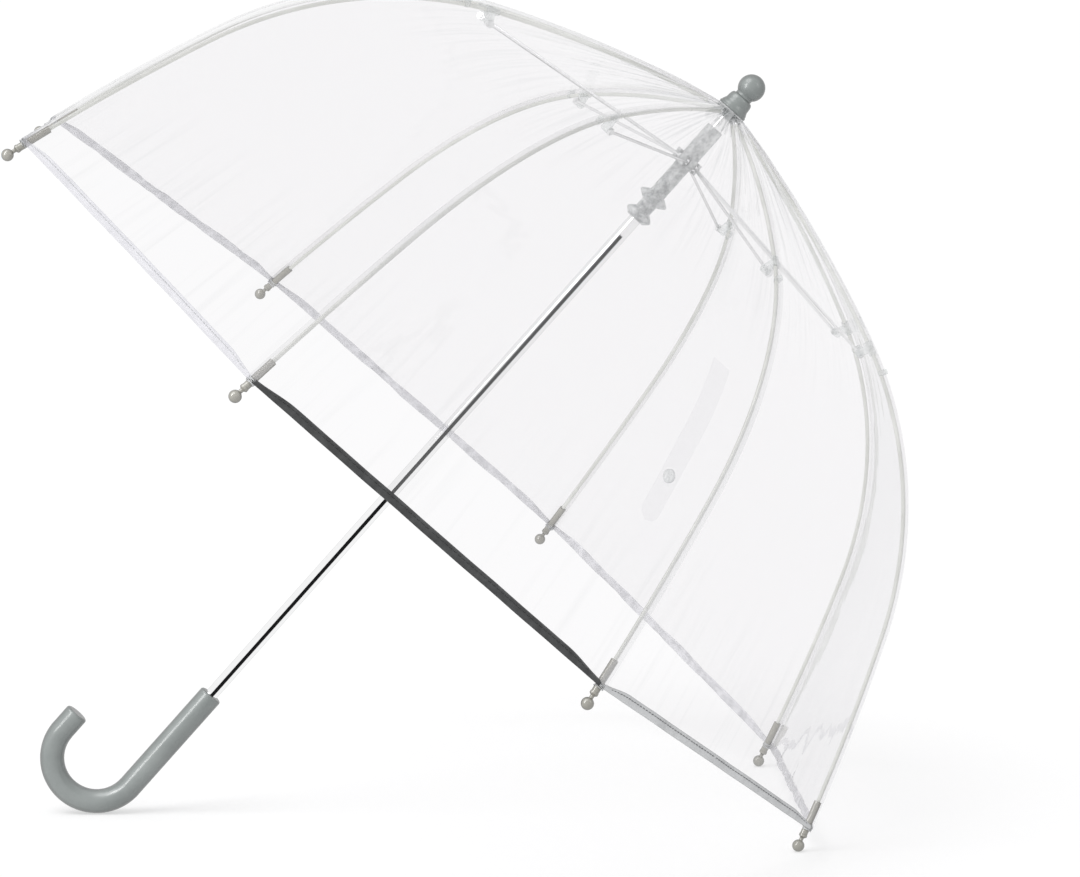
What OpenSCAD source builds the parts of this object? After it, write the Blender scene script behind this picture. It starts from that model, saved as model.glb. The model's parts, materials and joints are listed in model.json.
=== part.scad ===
// Clear bubble umbrella, open and resting on its crook handle and two rib tips.
// Each piece is drawn about the shaft (shaft along Z, rim ring at Z = 0, hook towards -X),
// and resting() then lays the whole umbrella on the floor at Z = 0.

/* [Canopy] */
// Radius of the ring through the tip balls
ring_r = 340; // [330:1:350]
// Inward lean of the ribs at the rim, in degrees from the shaft
rim_lean = 17.5; // [16:0.5:19]
// Bend radius of a rib's long lower stretch
lower_bend_r = 1257; // [1150:1:1400]
// Turn of a rib's lower stretch, in degrees
lower_turn = 6.2; // [5.5:0.1:7]
// Bend radius of a rib's shoulder
shoulder_r = 244; // [236:1:252]
// Turn of a rib's shoulder, in degrees
shoulder_turn = 43.7; // [42:0.1:45]
// Bend radius of a rib's crown stretch
crown_bend_r = 845; // [780:5:920]
// Film thickness, drawn thicker than the real 0.15 so that it stays a solid
film_t = 0.4; // [0.3:0.1:0.6]
// Distance from a rib's centreline out to the film's inner face
film_off = 2.8; // [2.7:0.1:3.2]
// Distance from a tip ball's centre to the film's hem
hem_back = 11.7; // [10:0.1:14]
// Width of the closure strap
strap_w = 18; // [14:1:22]
// Radius of the strap's snap
snap_r = 5; // [4:0.5:6]

/* [Ribs] */
// Radius of a fibreglass rib
rib_r = 1.3; // [1.1:0.05:1.4]
// Radius of a tip ball
ball_r = 3.75; // [3.4:0.05:4]
// Radius of a stretcher wire
wire_r = 0.9; // [0.8:0.05:1]
// Drop from a rib's centreline to the stretcher pin
pin_drop = 7.5; // [7:0.5:9]
// Sideways offset of the stretchers from their ribs
stretcher_side = 3.5; // [3.4:0.1:3.7]

/* [Shaft and runner] */
// Outer radius of the steel shaft
shaft_r = 4; // [3.8:0.05:4.1]
// Wall of the shaft tube
shaft_wall = 0.6; // [0.5:0.1:0.8]
// Radius of the runner's lower tube
runner_r = 5.35; // [5.25:0.05:5.6]
// Height of the stretcher ring above the rim ring
ring_z = 263.2; // [262:0.1:264]
// Radius of the runner's upper finger flange
flange_r = 10.3; // [9.5:0.1:11]

/* [Crown and ferrule] */
// Distance from the shaft's axis to the rib hinges
hinge_r = 7.5; // [7.4:0.1:8]
// Radius of the ferrule's foot
ferrule_foot_r = 10; // [9.5:0.1:10.2]
// Radius of the ferrule's ball
ferrule_ball_r = 8.6; // [8:0.1:9]
// Height of the ferrule ball's centre above the rim ring
ferrule_ball_z = 323.8; // [323:0.1:325]

/* [Handle] */
// Radius of the handle
handle_r = 7.6; // [7:0.1:8]
// Length of the handle's straight grip
grip_len = 78; // [70:1:90]
// Depth of the grip's top face below the rim ring
grip_top = 184.2; // [180:0.1:190]
// Radius of the crook's centreline
crook_r = 27.7; // [26:0.1:30]
// Turn of the crook, in degrees
crook_turn = 180; // [172:1:188]
// Length of the straight stretch past the crook
crook_end = 14; // [4:0.5:18]

/* [Hidden] */
RIBS = 8;
STEP = 360 / RIBS;
HALF = STEP / 2;
BALL_FACES = 48;
ROD_FACES = 24;
$fn = 64;

function ray(a) = [cos(a), sin(a)];
function reversed(v) = [for (i = [len(v) - 1:-1:0]) v[i]];
function at_arc(c, r, a) = c + r * ray(a);
function along(c, r, a0, a1, n) = [for (i = [0:n]) at_arc(c, r, a0 + (a1 - a0) * i / n)];

// A rib in its own plane, as [distance from the axis, height]: three arcs that meet at a tangent.
// Each arc has a centre, a start angle and an end angle.
rim_a0 = rim_lean;
rim_a1 = rim_a0 + lower_turn;
neck_a1 = rim_a1 + shoulder_turn;
rim_c = [ring_r, 0] - lower_bend_r * ray(rim_a0);
rim_end = at_arc(rim_c, lower_bend_r, rim_a1);
neck_c = rim_end - shoulder_r * ray(rim_a1);
neck_end = at_arc(neck_c, shoulder_r, neck_a1);
top_c = neck_end - crown_bend_r * ray(neck_a1);
function top_angle(x) = acos((x - top_c.x) / crown_bend_r);
knee_a = rim_a1 + shoulder_turn / 2;
hinge_a = top_angle(hinge_r);
hinge = at_arc(top_c, crown_bend_r, hinge_a);

// The stretcher's pin sits below the rib, just outside the end of the shoulder.
socket_a = neck_a1 - 1.2;
socket_p = at_arc(neck_c, shoulder_r, socket_a);
pin_p = socket_p - pin_drop * ray(socket_a);
ring_p = [hinge_r, ring_z];
stretcher_v = pin_p - ring_p;
stretcher_len = norm(stretcher_v);
stretcher_a = atan2(stretcher_v.y, stretcher_v.x);

// The film follows the ribs at a constant offset, and ends clear of the crown.
FILM_STEPS = [3, 14, 8];
film_top_r = 10.6;
film_a0 = rim_a0 + hem_back / lower_bend_r * 180 / PI;
film_a1 = top_angle(film_top_r);
function film_line(off) = concat(
    along(rim_c, lower_bend_r + off, film_a0, rim_a1, FILM_STEPS[0]),
    along(neck_c, shoulder_r + off, rim_a1, neck_a1, FILM_STEPS[1]),
    along(top_c, crown_bend_r + off, neck_a1, film_a1, FILM_STEPS[2]));
function mid_panel(line) = [for (p = line) [p.x * cos(HALF), p.y]];
film_outer = mid_panel(film_line(film_off + film_t));

// The umbrella leans until its crook and two tip balls touch the floor.
crook_p = [-crook_r, -(grip_top + grip_len)];
crook_out = crook_r + handle_r;
foot_p = [ring_r * cos(HALF), 0];
rest_v = foot_p - crook_p;
rest_lean = atan2(rest_v.y, rest_v.x) + asin((crook_out - ball_r) / norm(rest_v));
function floor_x(p) = p.x * cos(rest_lean) + p.y * sin(rest_lean);
function floor_z(p) = p.y * cos(rest_lean) - p.x * sin(rest_lean);
floor_drop = floor_z(foot_p) - ball_r;
x_low = min(floor_x(-foot_p) - ball_r, floor_x(crook_p) - crook_out);
x_high = max([for (p = film_outer) floor_x(p)]);

module resting() {
    translate([-(x_low + x_high) / 2, 0, -floor_drop])
        rotate([0, rest_lean, 0])
            children();
}

module at_rib(k) {
    resting() rotate([0, 0, HALF + STEP * (k - 1)]) children();
}

// Stands a piece drawn in the XY plane up in a rib's plane.
module upright() {
    rotate([90, 0, 0]) children();
}

function degrees_for(len, r) = len / r * 180 / PI;

// Round rod along an arc in a rib's plane.
module bent_rod(c, bend, a0, a1, r) {
    translate([c.x, 0, c.y]) upright() rotate([0, 0, a0])
        rotate_extrude(angle = a1 - a0, $fn = ROD_FACES * 4)
            translate([bend, 0]) circle(r = r, $fn = ROD_FACES);
}

// Places a piece at a point of a rib's plane, its Z axis turned to the given angle there.
module aim(p, a) {
    translate([p.x, 0, p.y]) rotate([0, 90 - a, 0]) children();
}

// Cylinder across a rib's plane, from y0 to y1.
module across(p, r, y0, y1) {
    translate([p.x, y1, p.y]) upright() cylinder(r = r, h = y1 - y0);
}

// ---- Handle, shaft, ferrule and crown ----

GRIP_BORE_CLEAR = 0.02;
GRIP_SOCKET = 42;
EDGE_R = 1.6;
// The straight stretches are a hair thinner than the crook and run a little way into it.
GRIP_STEP = 0.06;
LAP = 0.5;
grip_r = handle_r - GRIP_STEP;

// Straight round bar along Z from z0 to z1, with its upper rim rounded.
module capped_bar(r, z0, z1) {
    rotate_extrude() difference() {
        translate([0, z0]) square([r, z1 - z0]);
        translate([r - EDGE_R, z1 - EDGE_R]) difference() {
            square(EDGE_R + 1);
            circle(r = EDGE_R);
        }
    }
}

// Crook handle moulded round the end of the shaft.
module handle() {
    color([0.56, 0.59, 0.58]) resting() difference() {
        union() {
            capped_bar(grip_r, crook_p.y - LAP, -grip_top);
            bent_rod(crook_p, crook_r, -crook_turn, 0, handle_r);
            aim(at_arc(crook_p, crook_r, -crook_turn), -crook_turn - 90)
                capped_bar(grip_r, -LAP, crook_end);
        }
        translate([0, 0, -grip_top - GRIP_SOCKET])
            cylinder(r = shaft_r + GRIP_BORE_CLEAR, h = GRIP_SOCKET + 1);
    }
}

SHAFT_FOOT_GAP = 1;
shaft_z0 = -grip_top - GRIP_SOCKET + SHAFT_FOOT_GAP;
shaft_z1 = hinge.y + 13;
CATCH_Z = 238;
CATCH_LEN = 14;
CATCH_W = 1.6;
CATCH_OUT = 1.5;
SLOT_CLEAR = 0.3;

module shaft() {
    color([0.82, 0.83, 0.84]) resting() difference() {
        translate([0, 0, shaft_z0]) cylinder(r = shaft_r, h = shaft_z1 - shaft_z0);
        translate([0, 0, shaft_z0 - 1])
            cylinder(r = shaft_r - shaft_wall, h = shaft_z1 - shaft_z0 + 2);
        translate([-CATCH_W / 2 - SLOT_CLEAR, 1, CATCH_Z - SLOT_CLEAR])
            cube([CATCH_W + 2 * SLOT_CLEAR, shaft_r, CATCH_LEN + 2 * SLOT_CLEAR]);
    }
}

// Sprung steel catch in the shaft's slot: a blade with a ramped tooth that stands proud.
module catch_spring() {
    blade_in = 1.4;
    color([0.45, 0.46, 0.48]) resting()
        translate([-CATCH_W / 2, 0, CATCH_Z]) rotate([90, 0, 90])
            linear_extrude(height = CATCH_W)
                polygon([[blade_in, 0], [shaft_r, 0], [shaft_r + CATCH_OUT, 1.5],
                    [shaft_r + CATCH_OUT, 4.5], [shaft_r, CATCH_LEN], [blade_in, CATCH_LEN]]);
}

CROWN_R = 9.8;
CROWN_DOWN = 3.2;
CROWN_UP = 3;
CROWN_HUB_R = 5.3;
RING_WIRE_R = 0.6;
crown_z1 = hinge.y + CROWN_UP;

// Notched crown that holds the inner ends of the ribs.
module crown() {
    slot_w = 2 * rib_r + 0.8;
    color([0.86, 0.87, 0.88]) resting() difference() {
        translate([0, 0, hinge.y - CROWN_DOWN]) cylinder(r = CROWN_R, h = CROWN_UP + CROWN_DOWN);
        translate([0, 0, hinge.y - CROWN_DOWN - 1])
            cylinder(r = shaft_r + GRIP_BORE_CLEAR, h = CROWN_UP + CROWN_DOWN + 2);
        for (k = [1:RIBS]) rotate([0, 0, HALF + STEP * (k - 1)])
            translate([CROWN_HUB_R, -slot_w / 2, hinge.y - CROWN_DOWN - 1])
                cube([CROWN_R, slot_w, CROWN_DOWN + 1 + 2.2]);
        translate([0, 0, hinge.y]) ring_wire(hinge_r, RING_WIRE_R + 0.02);
    }
}

module ring_wire(r, wire) {
    rotate_extrude() translate([r, 0]) circle(r = wire, $fn = ROD_FACES);
}

module crown_wire() {
    color([0.7, 0.7, 0.72]) resting() translate([0, 0, hinge.y]) ring_wire(hinge_r, RING_WIRE_R);
}

// Ball-topped ferrule over the shaft's end: flared foot, waist and ball.
module ferrule() {
    foot_h = 5;
    waist_r = 6.6;
    waist_z = ferrule_ball_z - 8.5;
    color([0.56, 0.59, 0.58]) resting() difference() {
        union() {
            rotate_extrude() polygon([[0, crown_z1], [ferrule_foot_r - 0.6, crown_z1],
                [ferrule_foot_r, crown_z1 + 0.6], [ferrule_foot_r, crown_z1 + foot_h - 1.2],
                [ferrule_foot_r - 0.9, crown_z1 + foot_h], [waist_r + 0.5, waist_z - 1.6],
                [waist_r, waist_z], [waist_r, ferrule_ball_z], [0, ferrule_ball_z]]);
            translate([0, 0, ferrule_ball_z]) sphere(r = ferrule_ball_r, $fn = BALL_FACES);
        }
        translate([0, 0, crown_z1 - 1])
            cylinder(r = shaft_r + GRIP_BORE_CLEAR, h = shaft_z1 - crown_z1 + 1.5);
    }
}

// ---- Runner ----

RUNNER_BORE_R = shaft_r + 0.08;
RUNNER_TOP = 27;
RUNNER_FOOT = 48;
RUNNER_NECK_R = 5.85;
COLLAR_R = 9.6;
COLLAR_H = 7.6;
runner_ring_r = norm([hinge_r, stretcher_side]);
EYE_HALF = 0.9;
EYE_R = 2.1;

// One finger flange of the runner's spool, thinner at its rim.
module flange(z, r) {
    translate([0, 0, z]) rotate_extrude()
        polygon([[RUNNER_BORE_R, -3.6], [runner_r + 0.6, -3.6], [r - 0.4, -1], [r, 0],
            [r - 0.4, 1], [runner_r + 0.6, 3.6], [RUNNER_BORE_R, 3.6]]);
}

module runner() {
    upper_flange = ring_z - 30.8;
    lower_flange = ring_z - 44.4;
    slot_half = EYE_HALF + 0.3;
    color([0.9, 0.91, 0.92, 0.7]) resting() difference() {
        union() {
            translate([0, 0, ring_z - RUNNER_FOOT]) cylinder(r = runner_r, h = RUNNER_FOOT);
            translate([0, 0, ring_z]) cylinder(r = RUNNER_NECK_R, h = RUNNER_TOP);
            translate([0, 0, ring_z - COLLAR_H / 2]) cylinder(r = COLLAR_R, h = COLLAR_H);
            flange(upper_flange, flange_r);
            flange(lower_flange, flange_r - 1);
        }
        translate([0, 0, ring_z - RUNNER_FOOT - 1])
            cylinder(r = RUNNER_BORE_R, h = RUNNER_FOOT + RUNNER_TOP + 2);
        for (k = [1:RIBS]) rotate([0, 0, HALF + STEP * (k - 1)])
            translate([CROWN_HUB_R - 0.1, stretcher_side - slot_half, ring_z - COLLAR_H / 2 - 1])
                cube([COLLAR_R, 2 * slot_half, COLLAR_H + 2]);
        // Keyway that the catch's tooth stands in
        translate([-CATCH_W / 2 - SLOT_CLEAR, RUNNER_NECK_R + 0.5 - shaft_r, CATCH_Z - 1])
            cube([CATCH_W + 2 * SLOT_CLEAR, shaft_r, RUNNER_TOP + ring_z]);
        translate([0, 0, ring_z]) ring_wire(runner_ring_r, RING_WIRE_R + 0.02);
    }
}

module runner_wire() {
    color([0.7, 0.7, 0.72]) resting() translate([0, 0, ring_z])
        ring_wire(runner_ring_r, RING_WIRE_R);
}

// ---- Ribs, tips, sockets and stretchers ----

KNEE_GAP = 0.4;
TIP_BORE_START = 10;
// Each stretch of a rib is ground a little thinner than the one above it.
TAPER = 0.04;
neck_rod_r = rib_r - TAPER;
lower_rod_r = neck_rod_r - TAPER;

// Crown half of a rib: from the hinge eye to just short of the shoulder's middle.
module rib_upper(k) {
    eye_r = 1.9;
    color([0.88, 0.89, 0.87]) at_rib(k) difference() {
        union() {
            bent_rod(top_c, crown_bend_r, neck_a1, hinge_a, rib_r);
            bent_rod(neck_c, shoulder_r, knee_a + degrees_for(rib_r + KNEE_GAP, shoulder_r),
                neck_a1 + degrees_for(LAP, shoulder_r), neck_rod_r);
            across(hinge, eye_r, -1, 1);
        }
        across(hinge, RING_WIRE_R + 0.25, -rib_r - 1, rib_r + 1);
    }
}

// Rim half of a rib, from the shoulder's middle to a plain end inside the tip.
module rib_lower(k) {
    color([0.88, 0.89, 0.87]) at_rib(k) union() {
        bent_rod(neck_c, shoulder_r, rim_a1, knee_a, neck_rod_r);
        bent_rod(rim_c, lower_bend_r, rim_a0 + degrees_for(TIP_BORE_START, lower_bend_r),
            rim_a1 + degrees_for(LAP, lower_bend_r), lower_rod_r);
    }
}

// Moulded tip: ball, thin neck, flared collar and the sleeve that the rib is glued into.
module tip(k) {
    neck_r = 1.25;
    collar_r = 2.55;
    sleeve_r = 2.3;
    sleeve_s = [7.2, 29];
    bore_s = [TIP_BORE_START - 0.5, sleeve_s[1] + 1];
    color([0.74, 0.73, 0.7]) at_rib(k) difference() {
        union() {
            aim([ring_r, 0], 90 + rim_a0) {
                sphere(r = ball_r, $fn = BALL_FACES);
                rotate_extrude() polygon([[0, 0], [neck_r, 0], [neck_r, 5.2], [collar_r, 6.2],
                    [collar_r, 7.6], [0, 7.6]]);
            }
            bent_rod(rim_c, lower_bend_r, rim_a0 + degrees_for(sleeve_s[0], lower_bend_r),
                rim_a0 + degrees_for(sleeve_s[1], lower_bend_r), sleeve_r);
        }
        bent_rod(rim_c, lower_bend_r, rim_a0 + degrees_for(bore_s[0], lower_bend_r),
            rim_a0 + degrees_for(bore_s[1], lower_bend_r), lower_rod_r + 0.05);
    }
}

// Clip round the rib with a lug that carries the stretcher's pin.
module socket(k) {
    half_w = 2.3;
    clip_r = 2.3;
    clip_len = 9;
    color([0.85, 0.86, 0.86]) at_rib(k) {
        difference() {
            union() {
                aim(socket_p, socket_a + 90) translate([0, 0, -clip_len / 2])
                    cylinder(r = clip_r, h = clip_len);
                aim(pin_p, socket_a) translate([-2, -half_w, 0]) cube([4, 2 * half_w, pin_drop]);
                across(pin_p, half_w, -half_w, half_w);
            }
            bent_rod(neck_c, shoulder_r, socket_a - 3, socket_a + 3, neck_rod_r + 0.03);
        }
        across(pin_p, 1.5, -half_w - 0.8, -half_w);
    }
}

// Wire stretcher with an eye on the runner's ring and a riveted eye beside the socket.
module stretcher(k) {
    eye = [EYE_R, 2.4];
    y0 = stretcher_side - EYE_HALF;
    y1 = stretcher_side + EYE_HALF;
    color([0.78, 0.79, 0.8]) at_rib(k) difference() {
        union() {
            translate([0, stretcher_side, 0]) aim(ring_p, stretcher_a)
                cylinder(r = wire_r, h = stretcher_len, $fn = ROD_FACES);
            across(ring_p, eye[0], y0, y1);
            across(pin_p, eye[1], y0, y1);
            across(pin_p, 1.5, y1, y1 + 0.8);
        }
        across(ring_p, RING_WIRE_R + 0.65, y0 - 1, y1 + 1);
    }
}

// ---- Film, strap and snap ----

// Band of the film's section between two offsets, extruded across a panel.
module film_band(off0, off1, width) {
    upright() linear_extrude(height = width, center = true)
        polygon(concat(mid_panel(film_line(off1)), reversed(mid_panel(film_line(off0)))));
}

SEAM_GAP = 0.15;

// One of eight PVC panels, flat across and bent over the shoulder, between ribs k and k + 1.
module panel(k) {
    reach = ring_r * 1.2;
    color([0.93, 0.94, 0.96, 0.35]) at_rib(k) rotate([0, 0, HALF]) intersection() {
        film_band(film_off, film_off + film_t, 2 * ring_r);
        translate([SEAM_GAP / sin(HALF), 0, -1]) linear_extrude(height = ring_r)
            polygon([[0, 0], [reach, -reach * tan(HALF)], [reach, reach * tan(HALF)]]);
    }
}

STRAP_PANEL = 1;
STRAP_SIDE = 62;
STRAP_OFF = film_off + film_t + 0.3;
STRAP_T = 0.5;
STRAP_Z = [62, 178];
SNAP_TURN = 4.6;

module on_strap() {
    at_rib(STRAP_PANEL) rotate([0, 0, HALF]) translate([0, STRAP_SIDE, 0]) children();
}

// Closure strap that hangs against the outside of one panel.
module strap() {
    color([0.92, 0.93, 0.95, 0.5]) on_strap() intersection() {
        film_band(STRAP_OFF, STRAP_OFF + STRAP_T, strap_w);
        translate([0, -strap_w, STRAP_Z[0]]) cube([ring_r, 2 * strap_w, STRAP_Z[1] - STRAP_Z[0]]);
    }
}

module snap() {
    a = rim_a0 + SNAP_TURN;
    base = at_arc(rim_c, lower_bend_r + STRAP_OFF + STRAP_T + 0.1, a);
    color([0.86, 0.87, 0.88]) on_strap()
        aim([base.x * cos(HALF), base.y], a) soft_snap();
}

module soft_snap() {
    cylinder(r = snap_r, h = 1);
    cylinder(r = snap_r * 0.7, h = 1.6);
}

handle();
shaft();
catch_spring();
crown();
crown_wire();
ferrule();
runner();
runner_wire();
strap();
snap();
for (k = [1:RIBS]) {
    rib_upper(k);
    rib_lower(k);
    tip(k);
    socket(k);
    stretcher(k);
    panel(k);
}
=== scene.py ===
"""Looks of a clear bubble umbrella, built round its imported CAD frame: film gores, welded seams, stitched hems,
fibreglass ribs, ferrule, strap and thread, with procedural materials, on a pale studio floor.

Everything is in metres in the row frame. A rib's line is given by s, the distance along it from its tip ball's
centre, and a gore is half a panel: it runs from a rib to the middle of the panel beside it.
"""

import json
import math
import random

import bpy
import numpy as np
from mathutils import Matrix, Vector

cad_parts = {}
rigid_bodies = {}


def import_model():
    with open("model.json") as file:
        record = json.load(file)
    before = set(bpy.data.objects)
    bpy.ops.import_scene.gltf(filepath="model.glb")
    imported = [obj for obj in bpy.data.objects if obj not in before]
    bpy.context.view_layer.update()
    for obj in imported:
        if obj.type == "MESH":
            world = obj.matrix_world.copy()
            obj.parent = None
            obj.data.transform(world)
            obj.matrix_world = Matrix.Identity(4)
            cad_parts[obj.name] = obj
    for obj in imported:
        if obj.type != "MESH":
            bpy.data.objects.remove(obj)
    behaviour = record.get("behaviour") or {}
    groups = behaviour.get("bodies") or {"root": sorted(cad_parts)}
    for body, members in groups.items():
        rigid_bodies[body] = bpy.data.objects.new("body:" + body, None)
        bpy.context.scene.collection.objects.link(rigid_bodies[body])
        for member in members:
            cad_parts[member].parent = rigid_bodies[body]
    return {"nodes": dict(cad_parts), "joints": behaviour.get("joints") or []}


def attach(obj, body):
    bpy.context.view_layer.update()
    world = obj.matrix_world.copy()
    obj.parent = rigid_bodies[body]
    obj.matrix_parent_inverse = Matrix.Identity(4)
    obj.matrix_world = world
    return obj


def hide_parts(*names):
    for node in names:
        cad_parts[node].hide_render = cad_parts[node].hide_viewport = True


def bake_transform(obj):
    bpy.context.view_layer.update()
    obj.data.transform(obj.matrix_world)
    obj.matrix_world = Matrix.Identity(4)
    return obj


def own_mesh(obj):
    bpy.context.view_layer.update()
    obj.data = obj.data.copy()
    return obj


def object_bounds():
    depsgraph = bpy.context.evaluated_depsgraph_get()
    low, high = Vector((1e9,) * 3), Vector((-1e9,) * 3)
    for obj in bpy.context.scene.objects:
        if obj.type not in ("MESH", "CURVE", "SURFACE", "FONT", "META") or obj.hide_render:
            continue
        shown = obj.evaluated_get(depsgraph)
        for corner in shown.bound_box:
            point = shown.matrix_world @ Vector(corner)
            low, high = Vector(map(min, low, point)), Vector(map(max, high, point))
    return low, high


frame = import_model()
CAD_LOW, CAD_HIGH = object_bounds()

# ---- Sizes, as in the CAD model ----

RIBS = 8
HALF = math.pi / RIBS
RING_R = 0.340
RIM_LEAN = math.radians(17.5)
LOWER_BEND, LOWER_TURN = 1.257, math.radians(6.2)
SHOULDER_BEND, SHOULDER_TURN = 0.244, math.radians(43.7)
CROWN_BEND = 0.845
HINGE_R = 0.0075
RIB_R = 0.0013
FILM_OFF = 0.0030
HEM_BACK = 0.0117
FILM_TOP_R = 0.0096
TIP_BORE_START = 0.010
STRAP_PANEL = 1
STRAP_SIDE = 0.062
STRAP_W = 0.018
STRAP_Z = (0.062, 0.178)
SNAP_TURN = math.radians(4.6)
SNAP_R = 0.005


def ray(a):
    return np.array([math.cos(a), math.sin(a)])


def smooth_step(low, high, x):
    """0 below low, 1 above high, and smooth between them."""
    t = min(max((x - low) / (high - low), 0.0), 1.0)
    return t * t * (3 - 2 * t)


# ---- A rib's line: three arcs that meet at a tangent ----


def rib_arcs():
    """[(centre, bend radius, start angle, end angle)], from the tip to the hinge."""
    a1 = RIM_LEAN + LOWER_TURN
    a2 = a1 + SHOULDER_TURN
    lower_c = np.array([RING_R, 0.0]) - LOWER_BEND * ray(RIM_LEAN)
    shoulder_c = lower_c + (LOWER_BEND - SHOULDER_BEND) * ray(a1)
    crown_c = shoulder_c + (SHOULDER_BEND - CROWN_BEND) * ray(a2)
    a3 = math.acos((HINGE_R - crown_c[0]) / CROWN_BEND)
    return [
        (lower_c, LOWER_BEND, RIM_LEAN, a1),
        (shoulder_c, SHOULDER_BEND, a1, a2),
        (crown_c, CROWN_BEND, a2, a3),
    ]


ARCS = rib_arcs()
LOWER_S = LOWER_BEND * LOWER_TURN
SHOULDER_S = SHOULDER_BEND * SHOULDER_TURN
KNEE_S = LOWER_S + SHOULDER_S / 2
RIB_S = sum(bend * (a1 - a0) for _, bend, a0, a1 in ARCS)


def rib_line(s, off=0.0):
    """((distance from the axis, height above the rim ring), normal's angle) at s, moved out by off."""
    for centre, bend, a0, a1 in ARCS:
        length = bend * (a1 - a0)
        if s <= length or a1 == ARCS[-1][3]:
            a = a0 + s / bend
            return centre + (bend + off) * ray(a), a
        s -= length


HINGE_Z = rib_line(RIB_S)[0][1]
FILM_TOP_S = RIB_S - (FILM_TOP_R - HINGE_R)

# ---- The umbrella's own axes, from the frame's joints ----

JOINTS = {j["name"]: j for j in frame["joints"]}
UP = np.array(JOINTS["runner_slide"]["axis"])
HINGES = {k: np.array(JOINTS[f"rib_{k}_hinge"]["pos_m"]) for k in range(1, RIBS + 1)}
SIDE = {k: np.array(JOINTS[f"rib_{k}_hinge"]["axis"]) for k in range(1, RIBS + 1)}
TOP = sum(HINGES.values()) / RIBS
CENTRE = TOP - UP * HINGE_Z
OUT = {k: np.cross(SIDE[k], UP) for k in range(1, RIBS + 1)}


def wrapped(k):
    return (k - 1) % RIBS + 1


def on_rib(k, point, side=0.0):
    """Row-frame place of a point of rib k's plane."""
    return CENTRE + OUT[k] * point[0] + UP * point[1] + SIDE[k] * side


def rib_normal(k, a):
    """Row-frame direction that points out of the dome at rib k, where the rib's normal has angle a."""
    return OUT[k] * math.cos(a) + UP * math.sin(a)


# ---- The film's surface ----

rng = random.Random(7)
PHASES = {k: [rng.uniform(0, 2 * math.pi) for _ in range(12)] for k in range(1, RIBS + 1)}
GATHERS = ((3, 0.00075), (5, 0.00055), (8, 0.00035), (13, 0.00018))
RIPPLES = ((4, 0.00040), (7, 0.00028))
BILLOW, BILLOW_PER_M = 0.0014, 11
CREASE, CREASE_REACH, CREASE_RAYS = 0.0005, 0.07, 14
# Shares of the rib's length: where gathers start, and where they start to calm down at the crown
GATHER_FROM, CALM_FROM, CALMED = 0.42, 0.93, 0.75
GATHER_DRIFT = 5
HEM_RIPPLE_REACH = 0.09


def ripple(k, t, s):
    """How far panel k stands out of its flat section at t across it, from 0 at rib k to 1 at the next rib."""
    phase = PHASES[k]
    window = math.sin(math.pi * t) ** 0.7
    gathered = smooth_step(GATHER_FROM, 1.0, s / RIB_S)
    out = sum(
        size * math.sin(2 * math.pi * n * t + phase[i] + GATHER_DRIFT * s)
        for i, (n, size) in enumerate(GATHERS)
    ) * gathered * (1 - CALMED * smooth_step(CALM_FROM, 1.0, s / RIB_S))
    near_hem = 1 - smooth_step(0.0, HEM_RIPPLE_REACH, s)
    out += near_hem * sum(
        size * math.sin(2 * math.pi * n * t + phase[4 + i]) for i, (n, size) in enumerate(RIPPLES)
    )
    out += BILLOW * math.sin(math.pi * t) * math.sin(BILLOW_PER_M * s + phase[6]) * (1 - gathered)
    for corner, i in ((t, 7), (1 - t, 8)):
        width = 2 * RING_R * math.sin(HALF) * corner
        reach = math.hypot(width, s)
        fan = math.sin(CREASE_RAYS * math.atan2(width, s + 0.004) + phase[i])
        out += CREASE * math.exp(-reach / CREASE_REACH) * fan
    return out * window


def panel_normal(k, a):
    """Outward direction of panel k's flat section, where the ribs' normal has angle a."""
    middle = OUT[k] + OUT[wrapped(k + 1)]
    middle = middle / np.linalg.norm(middle)
    n = middle * math.cos(a) + UP * math.sin(a) * math.cos(HALF)
    return n / np.linalg.norm(n)


def film_point(k, t, s, lift=0.0):
    """Row-frame place on panel k at t across and s along, lifted off the film by lift."""
    point, a = rib_line(s, FILM_OFF)
    flat = on_rib(k, point) * (1 - t) + on_rib(wrapped(k + 1), point) * t
    return flat + panel_normal(k, a) * (ripple(k, t, s) + lift)


def gore_point(k, side, u, s, lift=0.0):
    """Place on the gore beside rib k: side is 1 or -1, and u is 0 at the rib and 1 at the panel's middle."""
    if side > 0:
        return film_point(k, u / 2, s, lift)
    return film_point(wrapped(k - 1), 1 - u / 2, s, lift)


# ---- Mesh helpers ----


def piece(name, vertices, faces, *materials):
    mesh = bpy.data.meshes.new(name)
    mesh.from_pydata([tuple(v) for v in vertices], [], faces)
    for m in materials:
        mesh.materials.append(m)
    mesh.polygons.foreach_set("use_smooth", [True] * len(mesh.polygons))
    mesh.update()
    made = bpy.data.objects.new(name, mesh)
    bpy.context.scene.collection.objects.link(made)
    return made


def grid_faces(rows, columns, round_it=False, start=0):
    """Quads of a grid of points laid out row by row. round_it joins each row's last point to its first."""
    faces = []
    for i in range(rows - 1):
        for j in range(columns if round_it else columns - 1):
            a, b = start + i * columns + j, start + i * columns + (j + 1) % columns
            faces.append((a, b, b + columns, a + columns))
    return faces


def swept(rings, far_cap=True):
    """(vertices, faces) of a bar whose sections are rings of equal length. far_cap closes its second end."""
    size = len(rings[0])
    vertices = [p for ring in rings for p in ring]
    faces = grid_faces(len(rings), size, True)
    faces.append(tuple(reversed(range(size))))
    if far_cap:
        faces.append(tuple(range(len(vertices) - size, len(vertices))))
    return vertices, faces


def turned_out(faces):
    return [tuple(reversed(f)) for f in faces]


def joined(*parts):
    """One (vertices, faces) from several."""
    vertices, faces = [], []
    for v, f in parts:
        faces += [tuple(i + len(vertices) for i in face) for face in f]
        vertices += list(v)
    return vertices, faces


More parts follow.
